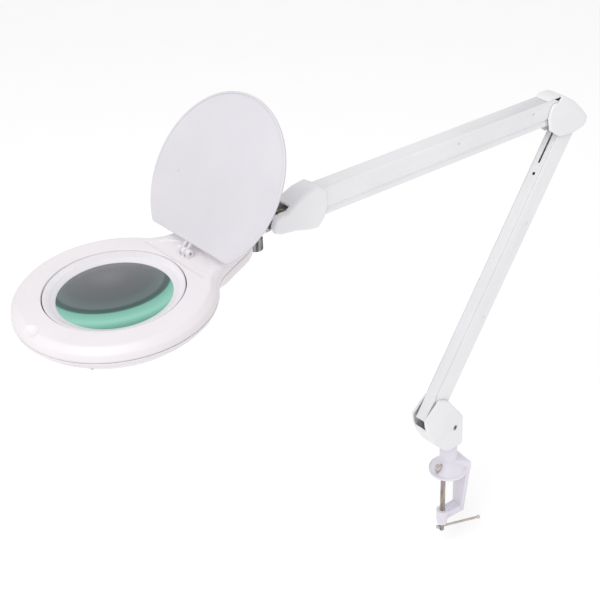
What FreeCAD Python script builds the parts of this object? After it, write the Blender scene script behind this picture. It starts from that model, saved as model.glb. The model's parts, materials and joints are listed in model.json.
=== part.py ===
"""Clamp-on magnifying lamp: clamp, swivel knuckle, two parallelogram arms, lit lens head and lens cover.

Frame: origin on the post's axis, on the underside of the clamp's upper jaw; +Z up, the arms and head
reach along -X and Y = 0 is the plane that the arms move in. Millimetres.
"""
import os
import FreeCAD, Part
from math import atan2, cos, degrees, radians, sin

V = FreeCAD.Vector
os.makedirs("parts", exist_ok=True)

# ---- driving dimensions -------------------------------------------------------------------------
RUNNING = 0.05             # radial clearance of a shaft that turns in a hole
GAP = 0.4                  # clearance between two pieces that move past each other

ARM_LENGTH = 440.0         # pivot to pivot, both arms
SHOULDER = (-32.9, 122.0)  # x, z of the lower outer bar's lower pivot
LOWER_ANGLE = 55.44        # lower arm above the horizontal, leaning away from the head
UPPER_ANGLE = 176.65       # upper arm's direction from the elbow, so 3.35 degrees above -X
LOWER_OFFSET = (-11.58, 5.91)   # from each lower outer pivot to the lower inner pivot
UPPER_OFFSET = (-2.03, -13.85)  # from each upper outer pivot to the upper inner pivot
ELBOW_STEP = (-28.7, 34.8)      # from the lower outer pivot to the upper outer pivot
PIN_R = 2.5
PIN_PROUD = 0.25           # how far a plain pin stands out of its channel
COVERED_HEAD = 0.35        # pin heads under the joint covers

LOWER_HALF_W = 10.2        # outer channel, half of its width in Y
LOWER_INNER_HALF_W = 8.2   # inner channels
UPPER_HALF_W = 11.9
UPPER_INNER_HALF_W = 9.7
SHEET = 1.5                # outer channels' steel
THIN_SHEET = 1.2           # inner channels' steel
LOWER_OUTER_N = (-8.0, 22.0)    # lower outer channel across the arm, from its pivot line
LOWER_INNER_N = (-5.0, 9.2)     # lower inner channel, from its own pivot line; web at the high side
UPPER_OUTER_N = (-12.5, 12.5)
UPPER_INNER_N = (-8.6, 4.6)

COVER_HALF_W = 15.0        # joint covers, half of their width in Y
COVER_IN = 12.4            # inside of the covers' cheeks
COVER_WALL = 2.2
CAP_CLEAR_R = 14.5         # the elbow covers' roof stays inside this radius of the upper arm's pivot

POST_R = 8.0
BOSS_R = 12.5
BOSS_TOP = 47.0
CLAMP_TURN = -7.5          # the clamp frame is turned this much about the post
SCREW_X = -8.0
SCREW_R = 3.8
JAW_R = 27.5
SPINE_INNER_X = 23.5       # the spine's inner side where it leaves the jaw face
THROAT = 73.0              # jaw face down to the screw boss
SCREW_END = -113.0
TOMMY_Z = -106.0
TOMMY_R = 2.0
TOMMY_LENGTH = 60.2
TOMMY_TURN = -23.4         # tommy bar's direction in plan
TOMMY_SHIFT = 26.3         # how far the bar is slid towards its long side

THUMB_TURN = 185.0         # where the thumb screw points, in plan
THUMB_Z = 16.0
THUMB_WING_AT = 25.0        # from the post axis to the middle of the wings

TILT_PIVOT = (-298.0, 536.0)
SWIVEL_X = -328.0
BARREL_R = 8.5
BARREL_Z = (511.5, 527.5)
STUD_R = 4.5
STUD_LENGTH = 44.0         # the stud that joins the barrel to the head

HEAD_ORIGIN = (-517.6, 0.0, 536.0)
HEAD_NOD = 2.06            # nose down
HEAD_TOP = 7.0
HEAD_BOTTOM = -28.0
PARTING = -8.0
BEZEL_R = 75.2
LENS_R = 63.5
LENS_SEEN_R = 61.5
WALL = 2.4

LID_R = 97.3
LID_CENTRE_X = 11.0        # of the closed lid, in the head's own frame
LID_CHORD_X = 83.7
LID_LOW = 8.3
LID_HIGH = 11.6
HINGE = (94.0, 10.0)       # lid hinge axis in the head's frame
LID_OPEN = 127.1


# ---- small tools --------------------------------------------------------------------------------
def box(x0, x1, y0, y1, z0, z1):
    return Part.makeBox(x1 - x0, y1 - y0, z1 - z0, V(x0, y0, z0))


def rod(r, x, z, y0, y1):
    """A cylinder along Y."""
    return Part.makeCylinder(r, y1 - y0, V(x, y0, z), V(0, 1, 0))


def post(r, x, y, z0, z1):
    """A cylinder along Z."""
    return Part.makeCylinder(r, z1 - z0, V(x, y, z0), V(0, 0, 1))


def side_prism(points, y0, y1):
    """A polygon in XZ, given thickness along Y."""
    wire = Part.makePolygon([V(x, y0, z) for x, z in points + points[:1]])
    return Part.Face(wire).extrude(V(0, y1 - y0, 0))


def plan_prism(points, z0, z1):
    """A polygon in XY, given height along Z."""
    wire = Part.makePolygon([V(x, y, z0) for x, y in points + points[:1]])
    return Part.Face(wire).extrude(V(0, 0, z1 - z0))


def turned(profile):
    """A closed r, z profile turned about Z."""
    wire = Part.makePolygon([V(r, 0, z) for r, z in profile + profile[:1]])
    return Part.Face(wire).revolve(V(0, 0, 0), V(0, 0, 1), 360)


def hull_of_discs(discs, y0, y1):
    """Discs (x, z, r) joined by straight webs into one plate."""
    body = None
    for i, (x, z, r) in enumerate(discs):
        piece = rod(r, x, z, y0, y1)
        body = piece if body is None else body.fuse(piece)
        for u, w, q in discs[i + 1:]:
            a = atan2(w - z, u - x)
            s, c = sin(a), cos(a)
            web = [(x - r * s, z + r * c), (x + r * s, z - r * c), (u + q * s, w - q * c), (u - q * s, w + q * c)]
            body = body.fuse(side_prism(web, y0, y1))
    return body.removeSplitter()


def moved(shape, x=0.0, y=0.0, z=0.0):
    out = shape.copy()
    out.translate(V(x, y, z))
    return out


def spun(shape, angle, centre=(0, 0, 0), axis=(0, 0, 1)):
    out = shape.copy()
    out.rotate(V(*centre), V(*axis), angle)
    return out


def mirrored(shape):
    return shape.mirror(V(0, 0, 0), V(0, 1, 0))


def softened(shape, radius, pick):
    """Fillet the edges that pick accepts, at the largest radius that works."""
    for r in (radius, radius * 0.7, radius * 0.45):
        edges = [e for e in shape.Edges if pick(e)]
        try:
            out = shape.makeFillet(r, edges)
            if out.isValid() and out.Volume > 0:
                return out
        except Exception:
            continue
    return shape


def save(name, *shapes):
    solids = [s for shape in shapes for s in shape.Solids]
    out = solids[0] if len(solids) == 1 else Part.makeCompound(solids)
    out.exportStep("parts/%s.step" % name)
    print("%-22s solids %d  volume %.0f" % (name, len(solids), sum(s.Volume for s in solids)))


def add(a, b):
    return (a[0] + b[0], a[1] + b[1])


def along(start, angle, length):
    return (start[0] + length * cos(radians(angle)), start[1] + length * sin(radians(angle)))


# ---- pivots -------------------------------------------------------------------------------------
K1 = SHOULDER
K2 = add(K1, LOWER_OFFSET)
E1 = along(K1, LOWER_ANGLE, ARM_LENGTH)
E2 = along(K2, LOWER_ANGLE, ARM_LENGTH)
E3 = add(E1, ELBOW_STEP)
E4 = add(E3, UPPER_OFFSET)
H1 = along(E3, UPPER_ANGLE, ARM_LENGTH)
H2 = along(E4, UPPER_ANGLE, ARM_LENGTH)


# ---- arms: built flat along +X from their first pivot, then laid on their pivots -----------------
def lay(shape, pivot, angle, flip):
    """+X becomes the arm's direction and +Z its side n; flip turns n over for the upper arm."""
    out = mirror_z(shape) if flip else shape.copy()
    out.rotate(V(0, 0, 0), V(0, 1, 0), -angle)
    out.translate(V(pivot[0], 0, pivot[1]))
    return out


def mirror_z(shape):
    return shape.mirror(V(0, 0, 0), V(0, 0, 1))


def channel(length, half_w, sheet, n_open, n_web, ends, web_from, web_to, pin_hole, end_r):
    """A U of sheet: its web at n_web, flanges to n_open, from s=0 to length with rounded ears at the pins."""
    low, high = sorted((n_open, n_web))
    outline = side_prism(ends, -half_w, half_w)
    for s in (0.0, length):
        outline = outline.fuse(rod(end_r, s, 0, -half_w, half_w))
    outline = outline.removeSplitter()
    inner = half_w - sheet
    core_low, core_high = (low - 9, n_web - sheet) if n_web > n_open else (n_web + sheet, high + 9)
    body = outline.cut(box(-40, length + 40, -inner, inner, core_low, core_high))
    web_low, web_high = (n_web - sheet - 1, n_web + 9) if n_web > n_open else (n_web - 9, n_web + sheet + 1)
    body = body.cut(box(-40, web_from, -inner, inner, web_low - 30, web_high + 30))
    body = body.cut(box(web_to, length + 40, -inner, inner, web_low - 30, web_high + 30))
    for s in (0.0, length):
        body = body.cut(rod(pin_hole, s, 0, -half_w - 1, half_w + 1))
    return body.removeSplitter()


def rounded(shape, radius):
    """Round the long outer corners of a channel."""
    def long_corner(e):
        if not isinstance(e.Curve, Part.Line) or e.Length < 250:
            return False
        a = e.Vertexes[0].Point
        top = shape.BoundBox
        outer_y = abs(abs(a.y) - top.YMax) < 0.01
        return outer_y and (abs(a.z - top.ZMax) < 0.01 or abs(a.z - top.ZMin) < 0.01)
    return softened(shape, radius, long_corner)


def lower_arm():
    low, high = LOWER_OUTER_N
    ends = [(-7, low), (ARM_LENGTH + 7, low), (ARM_LENGTH + 7, 3), (ARM_LENGTH - 9, high), (27, high), (-7, 5)]
    outer = channel(ARM_LENGTH, LOWER_HALF_W, SHEET, high, low, ends, 26, ARM_LENGTH - 12, PIN_R + RUNNING, 8.0)
    outer = rounded(outer, 1.4)
    for s in (150.0, 290.0):
        outer = outer.cut(rod(2.0, s, 2, -LOWER_HALF_W - 1, LOWER_HALF_W + 1))
    low, high = LOWER_INNER_N
    ends = [(-6, low), (ARM_LENGTH + 5, low), (ARM_LENGTH + 5, 6), (ARM_LENGTH - 10, high), (-12, high), (-14, 4)]
    inner = channel(ARM_LENGTH, LOWER_INNER_HALF_W, THIN_SHEET, low, high, ends, -20, ARM_LENGTH - 19, PIN_R + 0.25, 5.5)
    inner = inner.cut(box(-40, 14, -7, 7, low - 9, high - THIN_SHEET))
    slot = box(374, ARM_LENGTH - 18, -1.6, 1.6, 0, 20).fuse(Part.makeCylinder(1.6, 20, V(374, 0, 0), V(0, 0, 1)))
    hole = Part.makeCylinder(2.3, 20, V(357, 0, 0), V(0, 0, 1))
    inner = inner.cut(slot).cut(hole)
    return outer, inner


def upper_arm():
    low, high = UPPER_OUTER_N
    ends = [(-6, -6), (6, low), (ARM_LENGTH - 12, low), (ARM_LENGTH + 6, -5), (ARM_LENGTH + 6, 4),
            (ARM_LENGTH - 8, high), (20, high), (6, 6.2), (-6, 5)]
    outer = channel(ARM_LENGTH, UPPER_HALF_W, SHEET, low, high, ends, 20, ARM_LENGTH - 12, PIN_R + RUNNING, 8.5)
    outer = rounded(outer, 2.0)
    low, high = UPPER_INNER_N
    ends = [(-5, low + 3), (0, low), (ARM_LENGTH, low), (ARM_LENGTH + 5, low + 3), (ARM_LENGTH + 5, high), (-5, high)]
    inner = channel(ARM_LENGTH, UPPER_INNER_HALF_W, THIN_SHEET, high, low, ends, 17, ARM_LENGTH - 15, PIN_R + 0.25, 5.0)
    return outer, inner


def flat_to_upper(shape):
    """Upper arm pieces: +Z up across the arm, +X from the elbow towards the head."""
    out = shape.copy()
    out.rotate(V(0, 0, 0), V(0, 0, 1), 180)
    out.rotate(V(0, 0, 0), V(0, 1, 0), 180 - UPPER_ANGLE)
    return out


def upper_lay(shape, pivot):
    out = flat_to_upper(shape)
    out.translate(V(pivot[0], 0, pivot[1]))
    return out


def spring(length, r, y, n, start):
    """A tension spring's barrel: a close-wound tube with a hook lug at each end."""
    tube = Part.makeCylinder(r, length, V(start, y, n), V(1, 0, 0))
    tube = tube.cut(Part.makeCylinder(r - 0.9, length - 2, V(start + 1, y, n), V(1, 0, 0)))
    for s in (start - 4, start + length):
        tube = tube.fuse(box(s, s + 4, y - 0.5, y + 0.5, n - 1.5, n + 1.5))
    return tube.removeSplitter()


def arms():
    outer, inner = lower_arm()
    save("lower_arm_outer_channel", lay(outer, K1, LOWER_ANGLE, False))
    save("lower_arm_inner_channel", lay(inner, K2, LOWER_ANGLE, False))
    springs = [spring(132, 2.9, y, 0.0, 154) for y in (-3.4, 3.4)]
    save("lower_arm_springs", *[lay(s, K1, LOWER_ANGLE, False) for s in springs])
    pins = [rod(1.95, s, 2, -LOWER_HALF_W, LOWER_HALF_W) for s in (150.0, 290.0)]
    for pin in range(2):
        pins[pin] = pins[pin].cut(Part.makeCompound([lay(s, (0, 0), 0, False) for s in springs]))
    save("lower_arm_spring_pins", *[lay(p, K1, LOWER_ANGLE, False) for p in pins])

    outer, inner = upper_arm()
    for s in (60.0, 200.0):
        outer = outer.cut(rod(2.0, s, 3, -UPPER_HALF_W - 1, UPPER_HALF_W + 1))
    save("upper_arm_outer_channel", upper_lay(outer, E3))
    save("upper_arm_inner_channel", upper_lay(inner, E4))
    springs = [moved(spring(132, 2.9, y, 1.0, 64), 0, 0, 2) for y in (-3.6, 3.6)]
    save("upper_arm_springs", *[upper_lay(s, E3) for s in springs])
    pins = [rod(1.95, s, 3, -UPPER_HALF_W, UPPER_HALF_W).cut(Part.makeCompound(springs)) for s in (60.0, 200.0)]
    save("upper_arm_spring_pins", *[upper_lay(p, E3) for p in pins])

    cap = side_prism([(8, 12.6), (9.0, 16.9), (24, 17.3), (29, 14.6), (32, 12.6)], -UPPER_HALF_W + 0.4, UPPER_HALF_W - 0.4)
    cap = cap.cut(rod(18.0, 0, 0, -9.5, 9.5))
    cap = softened(cap, 1.6, lambda e: isinstance(e.Curve, Part.Line) and e.Vertexes[0].Point.z > 14.0
                   and e.Vertexes[1].Point.z > 14.0 and e.BoundBox.XLength > 2)
    save("upper_arm_end_cap", upper_lay(cap, E3))


# ---- clamp --------------------------------------------------------------------------------------
def clamp_turned(shape):
    return spun(shape, CLAMP_TURN)


def clamp():
    plate = post(JAW_R, 0, 0, 0, 4).fuse(box(0, 29, -15.4, 15.4, 0, 4)).removeSplitter()
    cone = Part.makeCone(JAW_R - 2.5, BOSS_R, 17, V(0, 0, 4), V(0, 0, 1))
    boss = post(BOSS_R, 0, 0, 0, BOSS_TOP)
    brow = Part.makeLoft([
        Part.makePolygon([V(0, -12, 26), V(0, 12, 26), V(0, 20, 4), V(0, -20, 4), V(0, -12, 26)]),
        Part.makePolygon([V(30.5, -15.3, 9), V(30.5, 15.3, 9), V(30.5, 15.4, 0), V(30.5, -15.4, 0), V(30.5, -15.3, 9)]),
    ], True, True)
    spine = Part.makeLoft([
        Part.makePolygon([V(23.7, -15.4, 3), V(23.7, 15.4, 3), V(30.5, 15.4, 3), V(30.5, -15.4, 3), V(23.7, -15.4, 3)]),
        Part.makePolygon([V(18.8, -9, -85), V(18.8, 9, -85), V(25.4, 9, -85), V(25.4, -9, -85), V(18.8, -9, -85)]),
    ], True, True)
    channel_cut = Part.makeLoft([
        Part.makePolygon([V(27.5, -12, 3), V(27.5, 12, 3), V(40, 12, 3), V(40, -12, 3), V(27.5, -12, 3)]),
        Part.makePolygon([V(22.0, -6, -80), V(22.0, 6, -80), V(40, 6, -80), V(40, -6, -80), V(22.0, -6, -80)]),
    ], True, True)
    reach = Part.makeLoft([
        Part.makePolygon([V(22, -9, -74), V(22, 9, -74), V(22, 9, -85), V(22, -9, -85), V(22, -9, -74)]),
        Part.makePolygon([V(-8, -7.5, -76), V(-8, 7.5, -76), V(-8, 7.5, -88), V(-8, -7.5, -88), V(-8, -7.5, -76)]),
    ], True, True)
    nut_boss = post(8.8, SCREW_X, 0, -89, -THROAT).fuse(post(7.4, SCREW_X, 0, -98, -89))
    root = box(SPINE_INNER_X - 0.1, 30.5, -15.45, 15.45, -3, 3)
    frame = plate.fuse([cone, boss, brow, spine, root, reach, nut_boss])
    frame = frame.cut(channel_cut.cut(box(-50, 50, -30, 30, -200, -78)))
    frame = frame.cut(box(27.1, 40, -12, 12, -3, 4))
    frame = frame.cut(post(POST_R + 1.5, 0, 0, 3, BOSS_TOP + 1))
    frame = frame.cut(post(SCREW_R + RUNNING, SCREW_X, 0, -120, -50))
    frame = frame.cut(thumb_hole(2.5 + RUNNING))
    frame = frame.removeSplitter()
    save("clamp_frame", clamp_turned(frame))

    bush = post(POST_R + 1.5, 0, 0, 3, BOSS_TOP).fuse(post(BOSS_R - 0.3, 0, 0, BOSS_TOP, BOSS_TOP + 1.2))
    bush = bush.cut(post(POST_R + RUNNING, 0, 0, 0, BOSS_TOP + 5)).cut(thumb_hole(2.5 + GAP))
    save("post_bush", clamp_turned(bush))

    disc = turned([(0, -10.6), (5.5, -10.6), (6.5, -6.2), (13.5, -6.2), (13.5, -4.0), (0, -4.0)])
    disc = disc.cut(post(SCREW_R - 0.8 + RUNNING, 0, 0, -12, -5.8))
    pad = post(13.0, 0, 0, -4.0, -2.2)
    save("pressure_disc", clamp_turned(moved(disc, SCREW_X)))
    save("pressure_pad", clamp_turned(moved(pad, SCREW_X)))

    screw = post(SCREW_R, 0, 0, SCREW_END, -11.0).fuse(post(SCREW_R - 0.8, 0, 0, -11.1, -6.0))
    tommy_axis = radians(TOMMY_TURN - CLAMP_TURN)
    direction = V(cos(tommy_axis), sin(tommy_axis), 0)
    start = V(0, 0, TOMMY_Z) - direction * 10
    screw = screw.cut(Part.makeCylinder(TOMMY_R + RUNNING, 20, start, direction))
    screw = softened(screw, 0.8, lambda e: isinstance(e.Curve, Part.Circle) and abs(e.BoundBox.ZMin - SCREW_END) < 0.1)
    save("clamp_screw", clamp_turned(moved(screw, SCREW_X)))
    first = V(SCREW_X, 0, TOMMY_Z) + direction * (TOMMY_SHIFT - TOMMY_LENGTH / 2)
    last = first + direction * TOMMY_LENGTH
    save("tommy_bar", clamp_turned(Part.makeCylinder(TOMMY_R, TOMMY_LENGTH, first, direction)))
    edges = [Part.LineSegment(V(0, 0, 0), V(1.8, 0, 0)).toShape(),
             Part.Arc(V(1.8, 0, 0), V(3, 0, 2.4), V(0, 0, 5.4)).toShape(),
             Part.LineSegment(V(0, 0, 5.4), V(0, 0, 0)).toShape()]
    knob = Part.Face(Part.Wire(edges)).revolve(V(0, 0, 0), V(0, 0, 1), 360)
    ends = []
    for point, way in ((first, -1), (last, 1)):
        end = knob.copy()
        end.rotate(V(0, 0, 0), V(0, 1, 0), 90 * way)
        end.rotate(V(0, 0, 0), V(0, 0, 1), degrees(tommy_axis))
        end.translate(point)
        ends.append(end)
    save("tommy_bar_ends", *[clamp_turned(e) for e in ends])


def thumb_axis():
    a = radians(THUMB_TURN - CLAMP_TURN)
    return V(cos(a), sin(a), 0)


def thumb_hole(r):
    return Part.makeCylinder(r, 40, V(0, 0, THUMB_Z), thumb_axis())


def thumb_screw():
    axis = thumb_axis()
    shank = Part.makeCylinder(2.5, THUMB_WING_AT - POST_R - 2.5, V(0, 0, THUMB_Z) + axis * (POST_R + 0.3), axis)
    hub = Part.makeCylinder(3.8, 5.6, V(0, 0, THUMB_Z) + axis * (THUMB_WING_AT - 4.4), axis)
    side = V(0, 0, 1)
    wings = []
    for way in (-1, 1):
        centre = V(0, 0, THUMB_Z) + axis * THUMB_WING_AT + side * way * 4.5
        disc = Part.makeCylinder(3.4, 2.4, centre - axis.cross(side) * 1.2, axis.cross(side))
        wings.append(disc)
    screw = shank.fuse([hub] + wings).removeSplitter()
    save("post_thumb_screw", clamp_turned(screw))


# ---- knuckle ------------------------------------------------------------------------------------
KNUCKLE = [(-62.5, 128), (-61, 116), (-53, 94), (-40, 73), (-20, 52), (-11, 49), (11, 49), (13.8, 53.5),
           (13.2, 98.5), (-14.4, 137), (-22.6, 144), (-35, 149.5), (-48, 139.5)]


def cover_half(outline, inset_outline, mouths, half_w=COVER_HALF_W, inner_y=COVER_IN, round_r=3.0):
    """Half of a joint cover, on the -Y side: a cheek with a rim that reaches the middle."""
    solid = side_prism(outline, -half_w, 0)
    solid = softened(solid, round_r, lambda e: abs(e.BoundBox.YMax + half_w) < 0.01)
    hollow = side_prism(inset_outline, -inner_y, 1)
    half = solid.cut(hollow)
    for mouth in mouths:
        half = half.cut(mouth)
    return half.removeSplitter()


def inset(points, distance):
    """A convex outline moved inwards."""
    wire = Part.makePolygon([V(x, 0, z) for x, z in points + points[:1]])
    inner = wire.makeOffset2D(-distance, 2)
    return [(v.Point.x, v.Point.z) for v in inner.OrderedVertexes]


def knuckle():
    stem = post(POST_R, 0, 0, 4, 60)
    groove = turned([(POST_R - 1.2, THUMB_Z - 3.4), (POST_R + 2, THUMB_Z - 3.4), (POST_R + 2, THUMB_Z + 3.4),
                     (POST_R - 1.2, THUMB_Z + 3.4)])
    stem = stem.cut(groove)
    collar = post(11.0, 0, 0, BOSS_TOP + 1.3, 58)
    tongue = hull_of_discs([(K1[0], K1[1], 7), (K2[0], K2[1], 6)], -6.5, 6.5)
    neck = side_prism([(-11, 52), (11, 52), (10, 88), (-24, 124), (-38, 112), (-20, 80)], -6.5, 6.5)
    frame = stem.fuse([collar, tongue, neck]).removeSplitter()
    frame = frame.cut(rod(PIN_R, K1[0], K1[1], -7, 7)).cut(rod(PIN_R, K2[0], K2[1], -7, 7))
    frame = frame.cut(rod(2.55, -3.5, 86.7, -7, 7))
    save("knuckle_frame", frame)

    opening_inner = inset(KNUCKLE, COVER_WALL)
    mouths = [side_prism([(-80, 150), (-80, 100), (-56, 100), (-52, 118), (-30, 132), (0, 122), (8, 140), (-30, 200),
                          (-80, 200)], -10.9, 1),
              post(11.3, 0, 0, 40, 60)]
    right = cover_half(KNUCKLE, opening_inner, mouths)
    stud = rod(5.0, -3.5, 86.7, -COVER_IN - 0.5, -6.6)
    right = right.fuse(stud).removeSplitter()
    left = mirrored(right)
    screw_hole = rod(2.2 + RUNNING, -3.5, 86.7, -20, 20)
    head_hole = rod(4.2, -3.5, 86.7, -20, -COVER_HALF_W + 2.0)
    right = right.cut(screw_hole).cut(head_hole)
    grommet_hole = rod(5.5, -20, 66, 5, 20)
    left = left.cut(screw_hole).cut(grommet_hole)
    save("knuckle_cover_right", right)
    save("knuckle_cover_left", left)
    screw = rod(2.2, -3.5, 86.7, -COVER_HALF_W + 2.0, COVER_HALF_W - 3.0)
    head = rod(4.0, -3.5, 86.7, -COVER_HALF_W + 0.3, -COVER_HALF_W + 2.0)
    drive = side_prism(hexagon(-3.5, 86.7, 2.0), -20, -COVER_HALF_W + 1.4)
    save("knuckle_cover_screw", screw.fuse(head).cut(drive).removeSplitter())
    save("shoulder_pins", headed_pin(K1, LOWER_HALF_W), plain_pin(K2, LOWER_INNER_HALF_W))
    save("shoulder_washers", *washers(K1, 6.5, LOWER_HALF_W - SHEET))
    grommet = rod(5.5, -20, 66, COVER_IN, COVER_HALF_W).fuse(rod(6.8, -20, 66, COVER_HALF_W, COVER_HALF_W + 1.2))
    save("cord_grommet", grommet.cut(rod(3.2, -20, 66, 0, 30)).removeSplitter())


def hexagon(x, z, r):
    return [(x + r * cos(radians(60 * k)), z + r * sin(radians(60 * k))) for k in range(6)]


def headed_pin(pivot, half_w, head=0.8):
    """A pivot pin with a thin head outside each flange."""
    x, z = pivot
    reach = half_w + 0.05
    pin = rod(PIN_R, x, z, -reach, reach)
    for y in (-reach - head, reach):
        pin = pin.fuse(rod(3.6, x, z, y, y + head))
    return pin.removeSplitter()


def plain_pin(pivot, half_w):
    """A pivot pin without heads, for a channel that runs inside another one."""
    x, z = pivot
    return rod(PIN_R, x, z, -half_w - PIN_PROUD, half_w + PIN_PROUD)


def washers(pivot, tongue_half, flange_inner):
    x, z = pivot
    out = []
    for side in (-1, 1):
        y0, y1 = sorted((side * (tongue_half + 0.05), side * (flange_inner - 0.05)))
        out.append(rod(5.0, x, z, y0, y1).cut(rod(PIN_R + RUNNING, x, z, y0 - 1, y1 + 1)))
    return out


# ---- elbow --------------------------------------------------------------------------------------
ELBOW = [(181.5, 534.2), (188, 532.4), (209, 518.5), (227.5, 500.6), (239.3, 486.5), (237, 477.5), (230.7, 472.8),
         (214, 470.5), (183, 474.6), (161, 491.3), (157, 510), (160, 521), (166, 528)]


def elbow():
    lower = hull_of_discs([(E1[0], E1[1], 7), (E2[0], E2[1], 5), (E4[0], E4[1], 5)], -6.5, 6.5)
    upper = hull_of_discs([(E3[0], E3[1], 7), (E4[0], E4[1], 5)], -8.0, 8.0)
    back = side_prism([(E1[0], E1[1]), (E1[0] + 7, E1[1] + 4), (E3[0] + 9, E3[1] - 1), (E3[0], E3[1])], -6.5, 6.5)
    bracket = lower.fuse([upper, back]).removeSplitter()
    for pivot in (E1, E2, E3, E4):
        bracket = bracket.cut(rod(PIN_R, pivot[0], pivot[1], -9, 9))
    screws = [(212.0, 503.5)]
    for x, z in screws:
        bracket = bracket.cut(rod(2.05, x, z, -9, 9))
    save("elbow_bracket", bracket)

    mouths = [
        side_prism([(120, 540), (120, 440), (226.5, 440), (226.5, 484), (219, 484), (205, 500), (196, 512), (178, 512),
                    (178, 540)], -COVER_IN, 1),
        side_prism([(120, 560), (120, 500), (181.4, 500), (181.4, 560)], -COVER_IN, 1),
    ]
    right = cover_half(ELBOW, inset(ELBOW, COVER_WALL), mouths, round_r=4.0)
    cap_sweep = rod(25, E3[0], E3[1], -20, 20).cut(rod(CAP_CLEAR_R, E3[0], E3[1], -20, 20))
    right = right.cut(cap_sweep.common(box(165, E3[0], -20, 20, E3[1] + 8, 560)))
    right = right.fuse(rod(5.0, 212.0, 503.5, -COVER_IN - 0.5, -6.6)).removeSplitter()
    left = mirrored(right)
    screw_hole = rod(2.0 + RUNNING, 212.0, 503.5, -20, 20)
    left = left.cut(screw_hole).cut(rod(3.8, 212.0, 503.5, COVER_HALF_W - 1.8, 20))
    right = right.cut(rod(2.0 + RUNNING, 212.0, 503.5, -COVER_HALF_W + 1.5, 20))
    save("elbow_cover_right", right)
    save("elbow_cover_left", left)
    screw = rod(2.0, 212.0, 503.5, -COVER_HALF_W + 2.5, COVER_HALF_W - 1.8)
    head = rod(3.6, 212.0, 503.5, COVER_HALF_W - 1.8, COVER_HALF_W - 0.2)
    drive = side_prism(hexagon(212.0, 503.5, 1.6), COVER_HALF_W - 1.3, 20)
    save("elbow_cover_screw", screw.fuse(head).cut(drive).removeSplitter())
    save("elbow_pins", headed_pin(E1, LOWER_HALF_W), plain_pin(E2, LOWER_INNER_HALF_W),
         headed_pin(E3, UPPER_HALF_W, COVERED_HEAD), plain_pin(E4, UPPER_INNER_HALF_W))
    save("elbow_washers", *(washers(E1, 6.5, LOWER_HALF_W - SHEET) + washers(E3, 8.0, UPPER_HALF_W - SHEET)))


# ---- head bracket, covers and the chrome joint ----------------------------------------------------
HEAD_COVER = [(-231, 555), (-243, 563.5), (-262, 562), (-278, 556), (-290, 548.5), (-299, 549.5), (-308, 546),
              (-312, 537), (-309, 528), (-301, 523.5), (-279, 519.5), (-257, 512), (-246, 510.6), (-235, 520), (-231, 533)]


def head_bracket():
    x, z = TILT_PIVOT
    plate = hull_of_discs([(H1[0], H1[1], 6), (H2[0], H2[1], 5.5), (-275, 536, 8)], -8.0, 8.0)
    ears = hull_of_discs([(x, z, 7.5), (-275, 536, 8)], -8.0, 8.0)
    bracket = plate.fuse(ears).cut(box(-320, -284.5, -4.3, 4.3, 500, 570)).removeSplitter()
    for pivot in (H1, H2):
        bracket = bracket.cut(rod(PIN_R, pivot[0], pivot[1], -9, 9))
    bracket = bracket.cut(rod(3.05, x, z, -9, 9)).cut(rod(2.05, -272, 527, -9, 9))
    save("head_bracket", bracket)

    mouths = [
        side_prism([(-200, 600), (-200, 490), (-256, 490), (-256, 507), (-246, 524), (-246, 553), (-240, 570),
                    (-238, 600)], -COVER_IN, 1),
        side_prism([(-330, 600), (-330, 500), (-290, 500), (-284, 530), (-283, 553), (-278, 600)], -8.6, 1),
    ]
    right = cover_half(HEAD_COVER, inset(HEAD_COVER, COVER_WALL), mouths, round_r=4.0)
    right = right.cut(rod(9.2, x, z, -COVER_IN, 1))
    stud = rod(4.6, -272, 527, -COVER_IN - 0.5, -8.1)
    right = right.fuse(stud).removeSplitter()
    left = mirrored(right)
    screw_hole = rod(2.0 + RUNNING, -272, 527, -20, 20)
    left = left.cut(screw_hole).cut(rod(3.8, -272, 527, COVER_HALF_W - 1.8, 20))
    right = right.cut(rod(2.0 + RUNNING, -272, 527, -COVER_HALF_W + 1.5, 20))
    save("head_cover_right", right)
    save("head_cover_left", left)
    screw = rod(2.0, -272, 527, -COVER_HALF_W + 2.5, COVER_HALF_W - 1.8)
    head = rod(3.6, -272, 527, COVER_HALF_W - 1.8, COVER_HALF_W - 0.2)
    drive = side_prism(hexagon(-272, 527, 1.6), COVER_HALF_W - 1.3, 20)
    save("head_cover_screw", screw.fuse(head).cut(drive).removeSplitter())
    save("head_bracket_pins", headed_pin(H1, UPPER_HALF_W, COVERED_HEAD), plain_pin(H2, UPPER_INNER_HALF_W))
    save("head_bracket_washers", *washers(H1, 8.0, UPPER_HALF_W - SHEET))

    bolt = rod(3.0, x, z, -10.5, 10.5).fuse(side_prism(hexagon(x, z, 5.5), -12.2, -8.1))
    nut = side_prism(hexagon(x, z, 5.5), 8.1, 12.2)
    save("tilt_bolt", bolt.removeSplitter())
    save("tilt_nut", nut.cut(rod(3.0, x, z, 0, 10.5)))


def swivel_stud(r):
    """The barrel's level stud, or the hole that it sits in."""
    return Part.makeCylinder(r, STUD_LENGTH, V(SWIVEL_X - STUD_LENGTH, 0, BARREL_Z[0] + 7.5), V(1, 0, 0))


def swivel_pin():
    """A cross pin that holds the stud in the head's boss."""
    return post(1.5, SWIVEL_X - 30, 0, BARREL_Z[0] + 2.0, BARREL_Z[0] + 13.0)


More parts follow.
